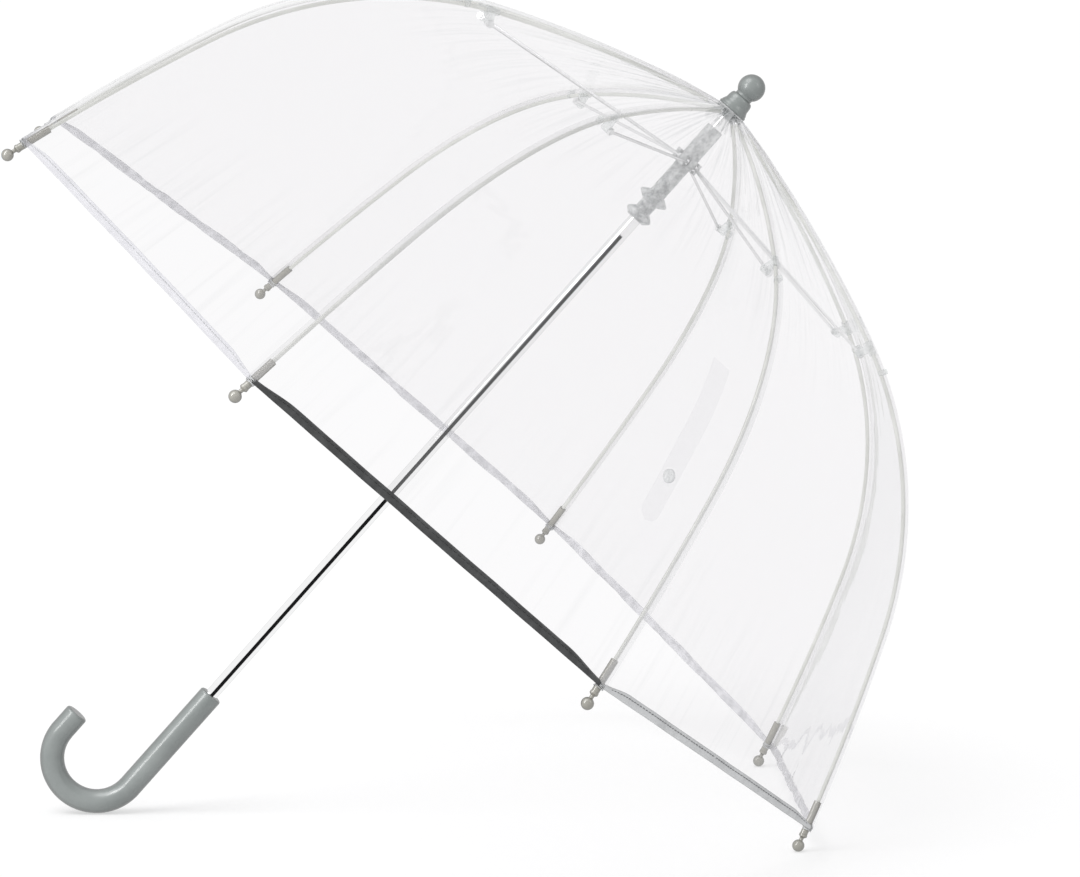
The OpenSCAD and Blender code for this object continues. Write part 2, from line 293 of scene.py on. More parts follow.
def circle(centre, x, y, rx, ry, sides):
    turn = [2 * math.pi * i / sides for i in range(sides)]
    return [centre + x * rx * math.cos(a) + y * ry * math.sin(a) for a in turn]


def tube(path, radius, sides=8):
    """A closed tube of one radius along a path of points."""
    path = [np.array(p) for p in path]
    rings, x = [], None
    for i, p in enumerate(path):
        along = path[min(i + 1, len(path) - 1)] - path[max(i - 1, 0)]
        along = along / np.linalg.norm(along)
        if x is None:
            x = np.cross(along, UP if abs(along @ UP) < 0.9 else OUT[1])
        x = x - along * (x @ along)
        x = x / np.linalg.norm(x)
        rings.append(circle(p, x, np.cross(along, x), radius, radius, sides))
    return swept(rings)


def lathe(base, axis, outline, sides=64):
    """A turned solid about an axis through base. outline is [(radius, height)], from the axis and back to it."""
    x = np.cross(axis, [0.0, 1.0, 0.0])
    x = x / np.linalg.norm(x)
    y = np.cross(axis, x)
    rings = [circle(base + axis * z, x, y, max(r, 1e-5), max(r, 1e-5), sides) for r, z in outline]
    return swept(rings)


def spread(low, high, count):
    return [low + (high - low) * i / (count - 1) for i in range(count)]


# ---- Materials ----


class Paint:
    """A node material under construction."""

    def __init__(self, name):
        self.material = bpy.data.materials.new(name)
        self.material.use_nodes = True
        self.tree = self.material.node_tree
        self.tree.nodes.clear()
        self.out = self.tree.nodes.new("ShaderNodeOutputMaterial")
        coordinates = self.tree.nodes.new("ShaderNodeTexCoord")
        self.place, self.cloth = coordinates.outputs["Object"], coordinates.outputs["UV"]

    def node(self, kind, settings=None, **inputs):
        made = self.tree.nodes.new("ShaderNode" + kind)
        for key, value in (settings or {}).items():
            setattr(made, key, value)
        for key, value in inputs.items():
            self.feed(made.inputs[key.replace("_", " ")], value)
        return made

    def feed(self, socket, value):
        if isinstance(value, bpy.types.NodeSocket):
            self.tree.links.new(value, socket)
        else:
            socket.default_value = value

    def noise(self, scale, detail=3.0, roughness=0.5, stretch=None, on=None):
        place = on or self.place
        if stretch:
            place = self.node("Mapping", Vector=place, Scale=stretch).outputs[0]
        return self.node("TexNoise", Vector=place, Scale=scale, Detail=detail, Roughness=roughness).outputs[0]

    def between(self, value, low, high, first, last):
        """A number that runs from first to last as value runs from low to high."""
        made = self.node("MapRange", Value=value)
        for socket, number in zip(list(made.inputs)[1:5], (low, high, first, last)):
            socket.default_value = number
        return made.outputs[0]

    def colours(self, value, *stops):
        """A colour ramp: stops are (position, (r, g, b))."""
        ramp = self.node("ValToRGB", Fac=value)
        points = ramp.color_ramp.elements
        while len(points) < len(stops):
            points.new(0.5)
        for point, (at, colour) in zip(points, stops):
            point.position, point.color = at, (*colour, 1.0)
        return ramp.outputs[0]

    def bump(self, height, strength, distance=0.001):
        return self.node("Bump", Height=height, Strength=strength, Distance=distance).outputs[0]

    def mixed(self, factor, first, second):
        made = self.node("MixShader", Fac=factor)
        self.tree.links.new(first, made.inputs[1])
        self.tree.links.new(second, made.inputs[2])
        return made.outputs[0]

    def rimmed(self, colour, rim, start, full):
        """colour, darkened to a share rim of itself where the surface turns away from the viewer.

        This paints shade by the view's angle, a known fault.
        """
        facing = self.node("LayerWeight", Blend=0.5).outputs["Facing"]
        edge = self.colours(facing, (start, (1, 1, 1)), (full, (rim, rim, rim)))
        return self.node("MixRGB", {"blend_type": "MULTIPLY"}, Fac=1.0, Color1=colour, Color2=edge).outputs[0]

    def gloss(self, normal):
        """Share of light mirrored by a clear sheet, from either side: a few hundredths, and most edge on."""
        facing = self.node("LayerWeight", Blend=0.5, Normal=normal).outputs["Facing"]
        fifth = self.node("Math", {"operation": "POWER"})
        self.feed(fifth.inputs[0], facing)
        fifth.inputs[1].default_value = 5.0
        return self.between(fifth.outputs[0], 0.0, 1.0, 0.035, 0.9)

    def show(self, shader):
        self.tree.links.new(shader, self.out.inputs[0])
        return self.material


def clear_film(name, passed, passed_edge, whiteness, rough):
    """Clear film: it dims what is behind it, more so where it is seen edge on, and mirrors by Fresnel's law."""
    p = Paint(name)
    waves = p.noise(30.0, 2.0, 0.45)
    normal = p.bump(waves, 0.4, 0.002)
    facing = p.node("LayerWeight", Blend=0.35, Normal=normal).outputs["Facing"]
    tint = p.colours(facing, (0.0, passed), (0.62, passed), (1.0, passed_edge))
    through = p.node("BsdfTransparent", Color=tint).outputs[0]
    shine = p.node("BsdfPrincipled", Base_Color=(0.86, 0.86, 0.88, 1), Roughness=rough, IOR=1.5, Normal=normal)
    mirror = p.node("BsdfGlossy", Color=(1, 1, 1, 1), Roughness=rough, Normal=normal).outputs[0]
    milk = p.between(p.noise(9.0), 0.35, 0.75, whiteness * 0.4, whiteness)
    milky = p.mixed(milk, through, shine.outputs[0])
    return p.show(p.mixed(p.gloss(normal), milky, mirror))


FILM_PASSED = (0.964, 0.959, 0.964)
FILM_PASSED_EDGE = (0.66, 0.67, 0.69)
FILM_FOLD_GREY = (0.70, 0.71, 0.72, 1)
FILM_HAZE = 0.10


def gathered_film(name):
    """The gores' film: clear where it is taut, with milky and grey folds that run up to the crown.

    Its UV is (how far round the umbrella, in panels; how far from the hem, in metres).
    """
    p = Paint(name)
    height = p.node("SeparateXYZ", Vector=p.cloth).outputs[1]
    folds = p.noise(1.0, 3.0, 0.55, stretch=(11.0, 3.5, 1.0), on=p.cloth)
    fine = p.noise(1.0, 2.0, 0.6, stretch=(38.0, 6.0, 1.0), on=p.cloth)
    clouds = p.noise(16.0, 3.0, 0.5)
    gathered = p.between(height, 0.22, 0.47, 0.0, 1.0)
    near_hem = p.between(height, 0.0, 0.10, 0.28, 0.0)
    strength = p.node("Math", {"operation": "MAXIMUM"})
    p.feed(strength.inputs[0], gathered)
    p.feed(strength.inputs[1], near_hem)
    strength = strength.outputs[0]

    def scaled(value):
        made = p.node("Math", {"operation": "MULTIPLY"})
        p.feed(made.inputs[0], value)
        p.feed(made.inputs[1], strength)
        return made.outputs[0]

    relief = p.node("Math", {"operation": "ADD"})
    p.feed(relief.inputs[0], scaled(folds))
    p.feed(relief.inputs[1], clouds)
    normal = p.bump(relief.outputs[0], 0.45, 0.0025)
    facing = p.node("LayerWeight", Blend=0.35, Normal=normal).outputs["Facing"]
    clear = p.colours(facing, (0.0, FILM_PASSED), (0.62, FILM_PASSED), (1.0, FILM_PASSED_EDGE))
    grey = scaled(p.between(fine, 0.52, 0.74, 0.0, 0.85))
    tint = p.node("MixRGB", Fac=grey, Color1=clear, Color2=FILM_FOLD_GREY).outputs[0]
    through = p.node("BsdfTransparent", Color=tint).outputs[0]
    shine = p.node("BsdfPrincipled", Base_Color=(0.9, 0.9, 0.91, 1), Roughness=0.12, IOR=1.5, Normal=normal)
    streaks = scaled(p.between(folds, 0.50, 0.72, 0.0, 0.55))
    milk = p.node("Math", {"operation": "MAXIMUM"})
    p.feed(milk.inputs[0], streaks)
    milk.inputs[1].default_value = FILM_HAZE
    milk = milk.outputs[0]
    milky = p.mixed(milk, through, shine.outputs[0])
    mirror = p.node("BsdfGlossy", Color=(1, 1, 1, 1), Roughness=0.04, Normal=normal).outputs[0]
    return p.show(p.mixed(p.gloss(normal), milky, mirror))


def moulded(name, dark, light, roughness, speck=900.0, bump=0.12, coat=0.0, rim=0.8):
    """Moulded plastic: faint clouding, fine grain and an uneven gloss, with painted edge shade. rim is how dark
    that painted edge shade is.
    """
    p = Paint(name)
    clouds = p.noise(38.0, 4.0, 0.55)
    grain = p.noise(speck, 2.0, 0.6)
    body = p.colours(clouds, (0.3, dark), (0.7, light))
    shader = p.node(
        "BsdfPrincipled",
        Base_Color=p.rimmed(body, rim, 0.26, 0.84),
        Roughness=p.between(p.noise(120.0), 0.3, 0.7, roughness * 0.88, roughness * 1.12),
        Normal=p.bump(grain, bump, 0.0002),
    )
    shader.inputs["Coat Weight"].default_value = coat
    shader.inputs["Coat Roughness"].default_value = 0.12
    return p.show(shader.outputs[0])


def frosted(name, dark, light, roughness, clear, grain=260.0):
    """Translucent moulding: part of what is behind it shows, and its surface is scuffed."""
    p = Paint(name)
    scuffs = p.noise(grain, 5.0, 0.7)
    shader = p.node(
        "BsdfPrincipled",
        Base_Color=p.colours(scuffs, (0.32, dark), (0.66, light)),
        Roughness=p.between(scuffs, 0.3, 0.7, roughness * 0.7, roughness * 1.3),
        Normal=p.bump(scuffs, 0.35, 0.0005),
    ).outputs[0]
    through = p.node("BsdfTransparent", Color=(0.93, 0.94, 0.94, 1)).outputs[0]
    return p.show(p.mixed(p.between(scuffs, 0.3, 0.7, clear * 1.3, clear * 0.7), shader, through))


def polished(name, colour, roughness, brush=(1, 1, 1), depth=0.05, rim=1.0):
    """Bright metal with faint drawing lines, and painted edge shade. rim is how dark that painted edge shade is.
    """
    p = Paint(name)
    lines = p.noise(700.0, 3.0, 0.6, stretch=brush)
    drawn = p.colours(lines, (0.25, [c * 0.94 for c in colour]), (0.75, colour))
    shader = p.node(
        "BsdfPrincipled",
        Base_Color=p.rimmed(drawn, rim, 0.66, 0.84),
        Roughness=p.between(lines, 0.2, 0.8, roughness * 0.7, roughness * 1.4),
        Normal=p.bump(lines, depth, 0.00005),
    )
    shader.inputs["Metallic"].default_value = 1.0
    return p.show(shader.outputs[0])


def binding(name, dark, light, metallic, roughness, clear, rim=0.8):
    """Hem tape: folded vinyl with a soft crumple, which mirrors what it faces."""
    p = Paint(name)
    crumple = p.noise(150.0, 3.0, 0.55)
    shader = p.node(
        "BsdfPrincipled",
        # Painted edge shade: the tape's colour darkens to a share rim of itself where it turns from the viewer.
        Base_Color=p.rimmed(p.colours(crumple, (0.3, dark), (0.7, light)), rim, 0.35, 0.85),
        Roughness=p.between(crumple, 0.3, 0.7, roughness * 0.7, roughness * 1.4),
        Normal=p.bump(crumple, 0.35, 0.0008),
    )
    shader.inputs["Metallic"].default_value = metallic
    through = p.node("BsdfTransparent", Color=(0.9, 0.9, 0.92, 1)).outputs[0]
    return p.show(p.mixed(clear, shader.outputs[0], through))


FILM = gathered_film("clear_film")
SEAM = clear_film("welded_seam", (0.975, 0.975, 0.975), (0.88, 0.885, 0.88), 0.45, 0.12)
TAB = clear_film("strap_film", (0.95, 0.95, 0.955), (0.7, 0.7, 0.72), 0.10, 0.08)
# The hem tape is one vinyl all round. These are copies of it painted to look as each hem does in this light;
# HEM_MOTTLED's mottle is partly its crumple and partly painted reflection.
HEM_MOTTLED = binding("hem_mottled", (0.64, 0.64, 0.66), (0.94, 0.94, 0.96), 0.05, 0.25, 0.42)
HEM_CLEAR = binding("hem_clear", (0.80, 0.80, 0.82), (0.95, 0.95, 0.96), 0.0, 0.15, 0.80)
# Painted dark reflection: panel 6's hem is painted nearly black, where the mirror-like tape faces something
# dark.
HEM_PAINTED_DARK_REFLECTION = binding("hem_painted_dark_reflection", (0.024, 0.025, 0.026), (0.062, 0.064, 0.066), 0.1, 0.24, 0.02)
HEM_LIGHT = binding("hem_light", (0.60, 0.61, 0.62), (0.72, 0.73, 0.74), 0.05, 0.3, 0.10, rim=0.4)
HANDLE = moulded("pearl_grey", (0.182, 0.200, 0.196), (0.232, 0.252, 0.247), 0.34, coat=0.4, rim=0.25)
TIP = moulded("tip_beige_grey", (0.235, 0.23, 0.203), (0.325, 0.317, 0.284), 0.14, coat=0.6, rim=0.2)
RIB = moulded("fibreglass", (0.66, 0.67, 0.63), (0.80, 0.81, 0.77), 0.3, speck=1600.0)
THREAD = moulded("thread", (0.40, 0.41, 0.42), (0.72, 0.73, 0.74), 0.6, speck=2500.0, bump=0.5)
STITCH = moulded("stitch_thread", (0.09, 0.09, 0.095), (0.16, 0.16, 0.17), 0.6, speck=2500.0, bump=0.5)
CHROME = polished("chrome_tube", (0.93, 0.932, 0.935), 0.035, rim=0.30)
WIRE = polished("bright_wire", (0.84, 0.845, 0.85), 0.18, rim=0.5)
SPRING = polished("spring_steel", (0.30, 0.31, 0.33), 0.3)
RUNNER = frosted("runner_plastic", (0.40, 0.41, 0.415), (0.86, 0.87, 0.87), 0.30, 0.34)
SOCKET = frosted("socket_plastic", (0.80, 0.81, 0.80), (0.97, 0.98, 0.98), 0.25, 0.66)
CROWN = frosted("crown_plastic", (0.80, 0.81, 0.81), (0.96, 0.97, 0.97), 0.2, 0.5)
# Panels 5, 6 and 7 take painted copies of the tape: clearer on 5, a painted dark reflection on 6 and grey on 7.
# Panel 6's stitches take the painted dark reflection too.
HEM_TAPES = {5: HEM_CLEAR, 6: HEM_PAINTED_DARK_REFLECTION, 7: HEM_LIGHT}
HEM_STITCHES = {6: HEM_PAINTED_DARK_REFLECTION, 7: STITCH}

# ---- CAD pieces that keep their shape ----

CAD_PAINTS = {
    "handle": HANDLE,
    "shaft": CHROME,
    "catch_spring": SPRING,
    "crown": CROWN,
    "crown_wire": WIRE,
    "runner": RUNNER,
    "runner_wire": WIRE,
    "tip": TIP,
    "socket": SOCKET,
    "stretcher": WIRE,
}


def paint_cad():
    for name, node in frame["nodes"].items():
        kind = name.rstrip("0123456789").rstrip("_")
        if kind in CAD_PAINTS:
            node.data.materials.clear()
            node.data.materials.append(CAD_PAINTS[kind])
            node.data.polygons.foreach_set("use_smooth", [True] * len(node.data.polygons))


# ---- Film gores ----

ACROSS = 26
UPPER, LOWER = "upper", "lower"
SPANS = {LOWER: (HEM_BACK, KNEE_S, 46), UPPER: (KNEE_S, FILM_TOP_S, 60)}


def fold(made, half):
    """Gives the piece its own copy of its mesh.
    """
    low, high, _ = SPANS[half]
    stations = [rib_line(s, FILM_OFF) for s in spread(low, high, 9)]
    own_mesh(made)


def gore_name(part, k, side, half=None):
    return "_".join(filter(None, [part, half, str(k), "a" if side > 0 else "b"]))


def add_gore(k, side, half):
    low, high, rows = SPANS[half]
    points = [
        gore_point(k, side, u, s) for s in spread(low, high, rows) for u in spread(0.0, 1.0, ACROSS)
    ]
    faces = grid_faces(rows, ACROSS)
    if side < 0:
        faces = turned_out(faces)
    made = piece(gore_name("film", k, side, half), points, faces, FILM)
    layer = made.data.uv_layers.new(name="cloth")
    for loop in made.data.loops:
        row, column = divmod(loop.vertex_index, ACROSS)
        round_it = k + side * 0.5 * column / (ACROSS - 1)
        layer.data[loop.index].uv = (round_it, low + (high - low) * row / (rows - 1))
    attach(made, f"{half}_{k}")
    fold(made, half)
    return made


# ---- Hem binding, with its stitches ----

HEM_H = 0.0058
HEM_TUCKED_H = 0.0030
HEM_T = 0.0006
HEM_PROUD = 0.0005
STITCH_PITCH = 0.0032
STITCH_LEN = 0.0021
STITCH_R = 0.00022
HEM_RINGS = 60
HEM_SIDES = 14


def hem_height(u):
    """Height of the binding at u along a gore: it is bunched where it's tied to the tip."""
    return HEM_TUCKED_H + (HEM_H - HEM_TUCKED_H) * smooth_step(0.0, 0.22, u)


def hem_twist(k, side, u):
    panel = k if side > 0 else wrapped(k - 1)
    if panel in HEM_TAPES:
        return 0.0
    phase = PHASES[panel]
    t = u / 2 if side > 0 else 1 - u / 2
    return 0.35 * math.sin(9 * math.pi * t + phase[9]) * math.sin(math.pi * t) + 0.12 * math.sin(
        31 * math.pi * t + phase[10]
    ) * math.sin(math.pi * t)


def hem_frame(k, side, u):
    """(middle of the binding, direction up the film, direction out of it) at u along a gore."""
    edge, above = (gore_point(k, side, u, s) for s in (HEM_BACK, HEM_BACK + HEM_H))
    up = (above - edge) / np.linalg.norm(above - edge)
    out = panel_normal(k if side > 0 else wrapped(k - 1), RIM_LEAN)
    out = out - up * (out @ up)
    out = out / np.linalg.norm(out)
    twist = hem_twist(k, side, u)
    height = hem_height(u)
    middle = edge + up * (height / 2 - HEM_PROUD)
    return middle, up * math.cos(twist) + out * math.sin(twist), out * math.cos(twist) - up * math.sin(twist)


def hem_ring(k, side, u):
    middle, up, out = hem_frame(k, side, u)
    height = hem_height(u)
    thick = HEM_T * (1 + 0.9 * (1 - smooth_step(0.0, 0.2, u)))
    ring = []
    for i in range(HEM_SIDES):
        a = 2 * math.pi * i / HEM_SIDES
        c, s = math.cos(a), math.sin(a)
        ring.append(
            middle
            + up * height / 2 * math.copysign(abs(c) ** 0.6, c)
            + out * thick * math.copysign(abs(s) ** 0.75, s)
        )
    return ring


def stitch(k, side, u, u_long):
    """One thread loop that stands on the binding's outer face, a third of its height down."""
    points = []
    for step in spread(-0.5, 0.5, 5):
        middle, up, out = hem_frame(k, side, u + step * u_long)
        rise = STITCH_R * (1.6 - 5.0 * step * step)
        points.append(middle + up * hem_height(u) / 6 + out * (HEM_T + rise))
    return tube(points, STITCH_R, 6)


def add_hem(k, side):
    rings = [hem_ring(k, side, u) for u in spread(0.012, 1.0, HEM_RINGS)]
    vertices, faces = swept(rings, far_cap=False)
    if side > 0:
        faces = turned_out(faces)
    half_w = RING_R * math.sin(HALF)
    pitch, long = STITCH_PITCH / half_w, STITCH_LEN / half_w
    stitches = [stitch(k, side, u, long) for u in np.arange(0.06 + pitch / 2, 1.0 - long / 2, pitch)]
    thread_v, thread_f = joined(*stitches)
    band = len(faces)
    all_v, all_f = joined((vertices, faces), (thread_v, thread_f))
    panel = k if side > 0 else wrapped(k - 1)
    tape, thread = HEM_TAPES.get(panel, HEM_MOTTLED), HEM_STITCHES.get(panel, THREAD)
    made = piece(gore_name("hem", k, side), all_v, all_f, tape, thread)
    made.data.polygons.foreach_set("material_index", [0] * band + [1] * (len(all_f) - band))
    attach(made, f"lower_{k}")
    fold(made, LOWER)
    return made


# ---- Ribs, seams and ties ----

FLEX = 0.012
SEAM_W = 0.0054
SEAM_RISE = 0.00035
SEAM_GAP = 0.0002
EYE_R = 0.00155
EYE_WIRE = 0.00062
CRIMP_LEN = 0.009
CRIMP_WIDE, CRIMP_HIGH = RIB_R + 0.00022, RIB_R + 0.00012


def flexed(made, k):
    """Bakes a piece's placing into its mesh."""
    ends = [on_rib(k, rib_line(KNEE_S + step)[0]) for step in (FLEX, -FLEX)]
    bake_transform(made)


def rib_stations(low, high):
    """Distances along a rib, close together at the knee."""
    coarse = spread(low, high, 90)
    fine = spread(KNEE_S - FLEX * 1.3, KNEE_S + FLEX * 1.3, 21)
    return sorted([s for s in coarse if abs(s - KNEE_S) > FLEX * 1.35] + fine)


def add_rib(k):
    rings = []
    for s in rib_stations(TIP_BORE_START + 0.001, RIB_S - EYE_R - EYE_WIRE):
        point, a = rib_line(s)
        radius = RIB_R - 0.00008 + 0.00008 * s / RIB_S
        rings.append(circle(on_rib(k, point), SIDE[k], rib_normal(k, a), radius, radius, 14))
    rod = swept(rings)
    hinge = on_rib(k, rib_line(RIB_S)[0])
    inward = np.cross(SIDE[k], UP)
    eye_path = [
        hinge + inward * EYE_R * math.cos(a) + UP * EYE_R * math.sin(a)
        for a in spread(0.0, 2 * math.pi, 25)
    ]
    crimp = []
    for s in spread(RIB_S - EYE_R - CRIMP_LEN, RIB_S - EYE_R, 6):
        point, a = rib_line(s)
        crimp.append(circle(on_rib(k, point), SIDE[k], rib_normal(k, a), CRIMP_WIDE, CRIMP_HIGH, 14))
    metal = joined(tube(eye_path, EYE_WIRE, 10), swept(crimp))
    vertices, faces = joined(rod, metal)
    made = piece(f"rib_{k}", vertices, faces, RIB, WIRE)
    rod_faces = len(rod[1])
    made.data.polygons.foreach_set("material_index", [0] * rod_faces + [1] * (len(faces) - rod_faces))
    flexed(made, k)
    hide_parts(f"rib_upper_{k}", f"rib_lower_{k}")


def add_seam(k):
    """The weld that joins two panels over a rib: a strip that bulges a little over the rod."""
    points, columns = [], 7
    stations = rib_stations(HEM_BACK + 0.002, FILM_TOP_S - 0.004)
    for s in stations:
        point, a = rib_line(s, FILM_OFF)
        width = SEAM_W / 2 * (0.55 + 0.45 * smooth_step(0.0, 0.05, FILM_TOP_S - s))
        for x in spread(-1.0, 1.0, columns):
            lift = SEAM_RISE * (1 - x * x) + SEAM_GAP
            points.append(on_rib(k, point, x * width) + rib_normal(k, a) * lift)
    made = piece(f"seam_{k}", points, turned_out(grid_faces(len(stations), columns)), SEAM)
    flexed(made, k)
    return made


TIE_S = 0.300
TIE_LEN = 0.0030
TIE_WALL = 0.00030
TIE_CLEAR = 0.0003


def add_tie(k):
    """Clear band that holds the seam to its rib, above the shoulder."""
    rings = []
    for s in spread(TIE_S - TIE_LEN / 2, TIE_S + TIE_LEN / 2, 5):
        point, a = rib_line(s, FILM_OFF / 2)
        bulge = TIE_WALL * (1 - (2 * (s - TIE_S) / TIE_LEN) ** 2 * 0.5)
        high = FILM_OFF / 2 + RIB_R
        wide = RIB_R + TIE_CLEAR + bulge
        rings.append(circle(on_rib(k, point), SIDE[k], rib_normal(k, a), wide, high + bulge, 20))
    vertices, faces = swept(rings)
    made = piece(f"tie_{k}", vertices, faces, SOCKET)
    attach(made, f"upper_{k}")


THREAD_R = 0.00024
THREAD_TURNS = 5
THREAD_STEPS = 16
THREAD_LEN = 0.0032
THREAD_REACH = 0.0029


def add_thread(k):
    """Thread wound round a tip, which ties the hem's corner to it."""
    path = []
    for i in range(THREAD_TURNS * THREAD_STEPS + 1):
        turn = 2 * math.pi * i / THREAD_STEPS
        wobble = 0.00025 * math.sin(2.3 * turn + k)
        s = HEM_BACK - 0.0011 + THREAD_LEN * i / (THREAD_TURNS * THREAD_STEPS) + wobble
        point, a = rib_line(s)
        reach = THREAD_REACH + 0.0002 * math.sin(1.7 * turn + 2 * k)
        out = rib_normal(k, a) * (0.0006 + reach * math.sin(turn))
        path.append(on_rib(k, point) + SIDE[k] * reach * math.cos(turn) + out)
    vertices, faces = tube(path, THREAD_R, 7)
    made = piece(f"thread_{k}", vertices, faces, THREAD)
    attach(made, f"lower_{k}")


# ---- Ferrule ----


FERRULE_LIFT = 0.003
FERRULE_BALL_Z = 0.3238
FOOT_R, NECK_R, BELL_R, BALL_R = 0.0100, 0.0058, 0.0078, 0.0086
BELL_TOP_R = BELL_R + 0.0004


def add_ferrule():
    """Ball-topped ferrule: a flared foot with a lip, a bell, and a groove under the ball."""
    base = TOP + UP * FERRULE_LIFT
    ball_z = FERRULE_BALL_Z - HINGE_Z - FERRULE_LIFT
    neck_z, bell_z = ball_z - 0.0080, ball_z - 0.0118
    outline = [(0.0, 0.0), (FOOT_R - 0.0007, 0.0), (FOOT_R - 0.0002, 0.0002)]
    outline += [(FOOT_R, 0.0006), (FOOT_R, 0.0013)]
    outline += [(FOOT_R - 0.0002, 0.0016), (FOOT_R - 0.0005, 0.0018)]
    for t in spread(0.1, 1.0, 9):
        drop = (1 + math.cos(math.pi * t)) / 2
        outline.append((BELL_TOP_R + (FOOT_R - 0.0009 - BELL_R) * drop, 0.0018 + (bell_z - 0.0030) * t))
    for a in spread(0.1, 1.0, 9):
        turn = a * math.pi / 2
        radius = NECK_R + (BELL_TOP_R - NECK_R) * math.cos(turn) ** 0.7
        outline.append((radius, bell_z - 0.0012 + (neck_z - bell_z + 0.0012) * math.sin(turn)))
    meet = math.acos(NECK_R / BALL_R)
    for a in spread(-meet, math.pi / 2, 26):
        outline.append((BALL_R * math.cos(a), ball_z + BALL_R * math.sin(a)))
    vertices, faces = lathe(base, UP, outline)
    made = piece("ferrule_cap", vertices, faces, HANDLE)
    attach(made, "frame")
    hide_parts("ferrule")


# ---- Strap and snap ----

STRAP_RIB = wrapped(STRAP_PANEL + 1)
STRAP_LIFT = 0.0009
STRAP_CURL, STRAP_CURL_LEN = 0.0005, 0.03
STRAP_WAVE, STRAP_WAVES_PER_M = 0.0002, 90


def s_at_height(z):
    """Distance along a rib at which the film is z above the rim ring."""
    low, high = 0.0, RIB_S
    for _ in range(40):
        s = (low + high) / 2
        low, high = (s, high) if rib_line(s, FILM_OFF)[0][1] < z else (low, s)
    return s


def strap_place(x, s, lift):
    """Place on the strap: x across it from its middle line, s along the ribs."""
    width = 2 * rib_line(s, FILM_OFF)[0][0] * math.sin(HALF)
    return film_point(STRAP_PANEL, 0.5 + (STRAP_SIDE + x) / width, s, lift)


def strap_fold(made):
    fold(made, LOWER)


def add_strap():
    low, high = (s_at_height(z) for z in STRAP_Z)
    points, rows, columns = [], 50, 13
    for s in spread(low, high, rows):
        end = STRAP_W / 2
        from_end = s - low
        half_w = end if from_end > end else math.sqrt(max(end**2 - (end - from_end) ** 2, 1e-8))
        curl = STRAP_CURL * (1 - smooth_step(0.0, STRAP_CURL_LEN, from_end))
        lift = STRAP_LIFT + curl + STRAP_WAVE * math.sin(STRAP_WAVES_PER_M * s)
        for x in spread(-half_w, half_w, columns):
            points.append(strap_place(x, s, lift))
    made = piece("strap_tab", points, grid_faces(rows, columns), TAB)
    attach(made, f"lower_{STRAP_RIB}")
    strap_fold(made)
    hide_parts("strap")


def add_snap():
    s = LOWER_BEND * SNAP_TURN
    base = strap_place(0.0, s, STRAP_LIFT + 0.0001)
    axis = panel_normal(STRAP_PANEL, RIM_LEAN + SNAP_TURN)
    r = SNAP_R
    outline = [(0.0, -0.0016), (r * 0.9, -0.0016), (r, -0.0013), (r, -0.0009), (r * 0.86, -0.0006)]
    outline += [(r * 0.86, 0.0002), (r, 0.0004), (r, 0.0008), (r * 0.9, 0.0012), (r * 0.62, 0.0013)]
    outline += [(r * 0.55, 0.0010), (r * 0.36, 0.0010), (r * 0.3, 0.0014), (0.0, 0.0015)]
    vertices, faces = lathe(base, axis, outline, 40)
    made = piece("snap_stud", vertices, faces, SOCKET)
    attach(made, f"lower_{STRAP_RIB}")
    strap_fold(made)
    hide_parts("snap")


# ---- Studio ----

VIEW_AZIMUTH = math.radians(-2.413)
VIEW_ELEVATION = math.radians(7.056)
VIEW_DISTANCE = 2.7094
VIEW_AIM = np.array([0.0513, 0.0, -0.0218])
LENS = 144.39


def add_camera():
    middle = np.array((CAD_LOW + CAD_HIGH) / 2)
    back = np.array(
        [
            math.sin(VIEW_AZIMUTH) * math.cos(VIEW_ELEVATION),
            -math.cos(VIEW_AZIMUTH) * math.cos(VIEW_ELEVATION),
            math.sin(VIEW_ELEVATION),
        ]
    )
    data = bpy.data.cameras.new("camera")
    data.lens, data.sensor_width = LENS, 36
    camera = bpy.data.objects.new("camera", data)
    bpy.context.scene.collection.objects.link(camera)
    camera.location = middle + VIEW_AIM + back * VIEW_DISTANCE
    camera.rotation_euler = (math.pi / 2 - VIEW_ELEVATION, 0.0, VIEW_AZIMUTH)
    bpy.context.scene.camera = camera


def stage_plane(name, centre, x, y, material):
    x, y = np.array(x), np.array(y)
    corners = [centre - x - y, centre + x - y, centre + x + y, centre - x + y]
    made = piece(name, corners, [(0, 1, 2, 3)], material)
    return made


def glow(name, colour):
    p = Paint(name)
    return p.show(p.node("Emission", Color=(*colour, 1.0)).outputs[0])


def only_in_reflections(made):
    for ray_kind in ("camera", "diffuse", "transmission", "volume_scatter", "shadow"):
        setattr(made, f"visible_{ray_kind}", False)


FLOOR_HALF = 40
FLOOR_GREY, FLOOR_GLOW = (0.5, 0.5, 0.503, 1.0), 0.53


def add_floor():
    p = Paint("floor")
    paper = p.noise(3.0)
    shader = p.node("BsdfPrincipled", Base_Color=FLOOR_GREY, Roughness=0.9)
    shader.inputs["Specular IOR Level"].default_value = 0.0
    shader.inputs["Emission Color"].default_value = (1, 1, 1, 1)
    shader.inputs["Emission Strength"].default_value = FLOOR_GLOW
    p.feed(shader.inputs["Normal"], p.bump(paper, 0.02, 0.001))
    x, y = (FLOOR_HALF, 0, 0), (0, FLOOR_HALF, 0)
    floor = stage_plane("floor", np.zeros(3), x, y, p.show(shader.outputs[0]))
    floor.visible_glossy = False


FLAG_NEAR = 0.10
FLAG_TURN = math.radians(17)
FLAG_HALF_ANGLE = math.radians(32)
FLAG_HALF_LENGTH = 0.205
FLAG_RISE = -0.005


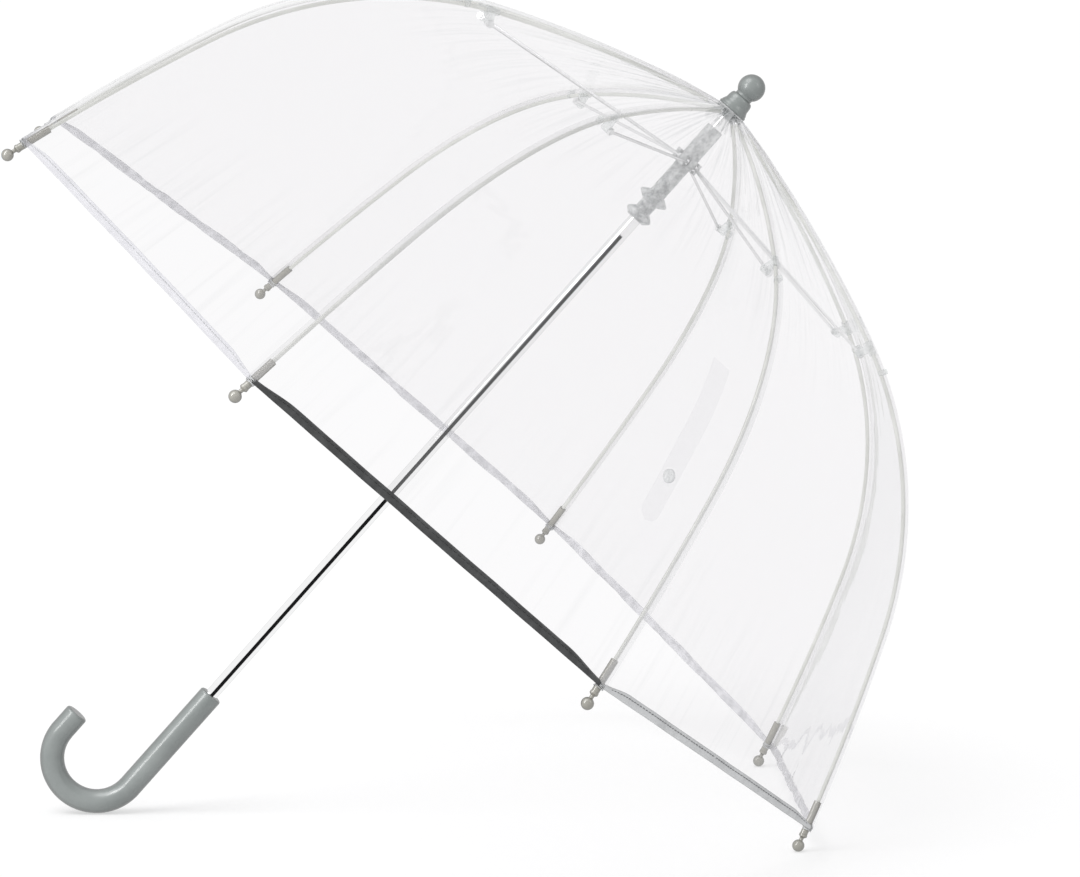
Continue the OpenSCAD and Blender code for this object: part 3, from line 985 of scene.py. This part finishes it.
def add_dark_flag():
    """Dark flag along the shaft, beside the camera, which bright parts mirror as a stripe."""
    toward = np.array(bpy.context.scene.camera.location) - CENTRE
    toward = toward - UP * (toward @ UP)
    toward = toward / np.linalg.norm(toward)
    across = np.cross(UP, toward)
    if across[2] > 0:
        across = -across
    direction = toward * math.cos(FLAG_TURN) + across * math.sin(FLAG_TURN)
    width = across * math.cos(FLAG_TURN) - toward * math.sin(FLAG_TURN)
    flag = stage_plane(
        "dark_flag",
        CENTRE + UP * FLAG_RISE + direction * FLAG_NEAR,
        width * FLAG_NEAR * math.tan(FLAG_HALF_ANGLE),
        UP * FLAG_HALF_LENGTH,
        glow("flag", (0.012, 0.012, 0.013)),
    )
    only_in_reflections(flag)


def pointed(data, place, aim):
    lamp = bpy.data.objects.new(data.name, data)
    bpy.context.scene.collection.objects.link(lamp)
    lamp.location = place
    lamp.rotation_euler = (Vector(aim) - Vector(place)).to_track_quat("-Z", "Y").to_euler()
    return lamp


def add_softbox(name, place, aim, size, power, receivers):
    data = bpy.data.lights.new(name, "AREA")
    data.shape, data.size, data.size_y, data.energy = "RECTANGLE", size[0], size[1], power
    pointed(data, place, aim).light_linking.receiver_collection = receivers


def all_but(name, *kept_out):
    """A light's receivers: everything but the film, which would mirror a lamp whole, and the named pieces."""
    made = bpy.data.collections.new(name)
    for other in bpy.context.scene.objects:
        unlit = other.name in kept_out or other.name.startswith(("film_", "seam_"))
        if other.type == "MESH" and unlit:
            made.objects.link(other)
    for entry in made.collection_objects:
        entry.light_linking.link_state = "EXCLUDE"
    return made


def grey_plastics(name):
    """A light's receivers: the handle, the ferrule and the tips alone."""
    made = bpy.data.collections.new(name)
    for other in bpy.context.scene.objects:
        if other.type == "MESH" and {HANDLE, TIP} & set(other.data.materials):
            made.objects.link(other)
    return made


WORLD_SEEN, WORLD_ON_MATT = 1.0, 0.62
SKY_POWER, SKY_WIDTH = 1.35, math.radians(40)


def add_light():
    world = bpy.data.worlds.new("studio")
    bpy.context.scene.world = world
    world.use_nodes = True
    tree = world.node_tree
    path = tree.nodes.new("ShaderNodeLightPath")
    level = tree.nodes.new("ShaderNodeMapRange")
    level.inputs["To Min"].default_value = WORLD_SEEN
    level.inputs["To Max"].default_value = WORLD_ON_MATT
    tree.links.new(path.outputs["Is Diffuse Ray"], level.inputs["Value"])
    tree.links.new(level.outputs[0], tree.nodes["Background"].inputs["Strength"])
    tree.nodes["Background"].inputs["Color"].default_value = (1, 1, 1, 1)

    sky = bpy.data.lights.new("sky", "SUN")
    sky.energy, sky.angle = SKY_POWER, SKY_WIDTH
    middle = (CAD_LOW + CAD_HIGH) / 2
    lamp = pointed(sky, (-1.2, -0.9, 3.0), (0.0, 0.0, 0.0))
    lamp.light_linking.receiver_collection = all_but("sky_receivers")
    receivers = all_but("softbox_receivers", "floor")
    add_softbox("key", (-1.5, -1.5, 1.9), middle, (0.7, 0.7), 9, receivers)
    add_softbox("side", (1.9, -1.3, 1.3), middle, (0.4, 1.4), 5, receivers)
    plastics = grey_plastics("modelling_receivers")
    add_softbox("modelling", (-1.3, -1.0, 1.0), middle, (0.5, 0.9), 14, plastics)
    bpy.context.scene.view_settings.view_transform = "Standard"


# ---- Build ----

add_camera()
paint_cad()
for k in range(1, RIBS + 1):
    seam = add_seam(k)
    for side in (1, -1):
        for half in (LOWER, UPPER):
            film = add_gore(k, side, half)
            low, high, _ = SPANS[half]
            extras = [add_hem(k, side)] if half == LOWER else []
            if side == 1 and half == UPPER:
                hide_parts(f"panel_{k}")
                extras.append(seam)
            ends = [(gore_point(k, side, 0.0, s), gore_point(k, side, 1.0, s)) for s in (low, high)]
    add_rib(k)
    add_tie(k)
    add_thread(k)
add_ferrule()
add_strap()
add_snap()
add_floor()
add_dark_flag()
add_light()
